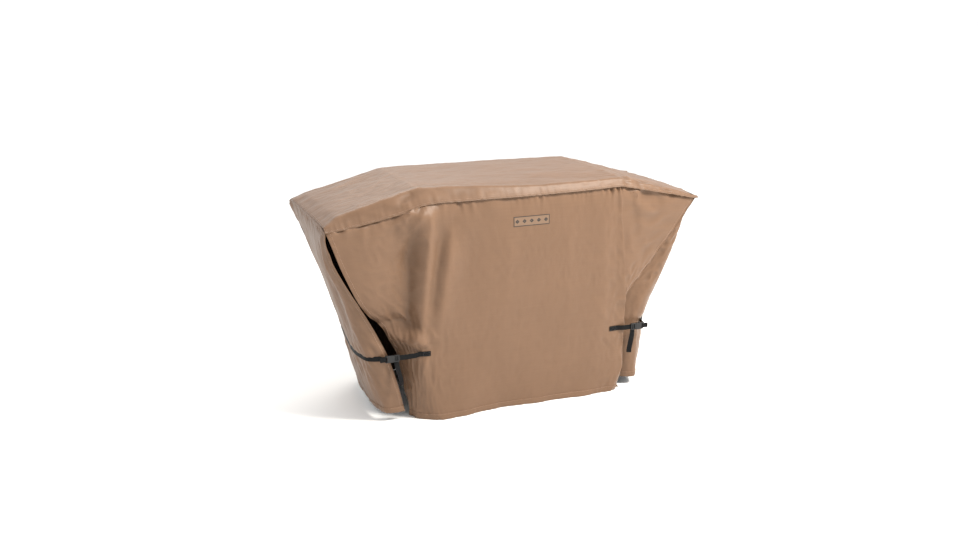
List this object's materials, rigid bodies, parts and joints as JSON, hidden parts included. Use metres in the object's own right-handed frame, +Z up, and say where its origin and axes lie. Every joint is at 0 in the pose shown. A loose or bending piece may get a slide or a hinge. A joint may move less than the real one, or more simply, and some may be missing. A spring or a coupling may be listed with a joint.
{
  "type": "grill cover",
  "caption": "Fitted coated-cloth cover for a wide outdoor griddle with side shelves: raised centre, sloping ends, slit corners, and end flaps drawn in by straps with side-release buckles.",
  "frame": {"origin": "middle of the footprint, on the ground that the hems stand on", "axes": "+X to the right along the length seen from the front, -Y is the front with the label, +Z up"},
  "size_m": [1.533, 0.6272, 0.9086],
  "materials": {
    "cloth": "satin coated woven polyester",
    "webbing": "matte woven strap",
    "buckle": "moulded acetal",
    "label": "woven label",
    "thread": "polyester thread"
  },
  "bodies": {
    "cover": {"top_panel": "cloth", "front_panel": "cloth", "rear_panel": "cloth", "front_top_seam_tape": "cloth", "rear_top_seam_tape": "cloth", "front_hem_band": "cloth", "rear_hem_band": "cloth", "front_label": "label", "slit_bartacks": "thread", "front_left_slit_facing": "cloth", "front_left_tab_webbing": "webbing", "front_left_tab_stitching": "thread", "front_right_slit_facing": "cloth", "front_right_tab_webbing": "webbing", "front_right_tab_stitching": "thread", "rear_left_slit_facing": "cloth", "rear_left_tab_webbing": "webbing", "rear_left_tab_stitching": "thread", "rear_right_slit_facing": "cloth", "rear_right_tab_webbing": "webbing", "rear_right_tab_stitching": "thread"},
    "front_left_plug": {"front_left_buckle_plug": "buckle", "front_left_tail_webbing": "webbing"},
    "front_right_plug": {"front_right_buckle_plug": "buckle", "front_right_tail_webbing": "webbing"},
    "rear_left_plug": {"rear_left_buckle_plug": "buckle", "rear_left_tail_webbing": "webbing"},
    "rear_right_plug": {"rear_right_buckle_plug": "buckle", "rear_right_tail_webbing": "webbing"},
    "left_flap": {"left_end_panel": "cloth", "left_end_top_band": "cloth", "left_end_hem_band": "cloth", "left_end_webbing": "webbing", "front_left_buckle_socket": "buckle", "rear_left_buckle_socket": "buckle"},
    "right_flap": {"right_end_panel": "cloth", "right_end_top_band": "cloth", "right_end_hem_band": "cloth", "right_end_webbing": "webbing", "front_right_buckle_socket": "buckle", "rear_right_buckle_socket": "buckle"}
  },
  "joints": [
    {"name": "left_flap_swing", "type": "hinge", "parent": "cover", "child": "left_flap", "pos_m": [-0.7646, 0, 0.807], "axis": [0, 1, 0], "range_deg": [0, 75]},
    {"name": "right_flap_swing", "type": "hinge", "parent": "cover", "child": "right_flap", "pos_m": [0.7646, 0, 0.807], "axis": [0, -1, 0], "range_deg": [0, 75]},
    {"name": "front_left_plug_slide", "type": "slide", "parent": "cover", "child": "front_left_plug", "axis": [1, 0, 0], "range_m": [0, 0.02]},
    {"name": "front_right_plug_slide", "type": "slide", "parent": "cover", "child": "front_right_plug", "axis": [-1, 0, 0], "range_m": [0, 0.02]},
    {"name": "rear_left_plug_slide", "type": "slide", "parent": "cover", "child": "rear_left_plug", "axis": [1, 0, 0], "range_m": [0, 0.02]},
    {"name": "rear_right_plug_slide", "type": "slide", "parent": "cover", "child": "rear_right_plug", "axis": [-1, 0, 0], "range_m": [0, 0.02]}
  ]
}
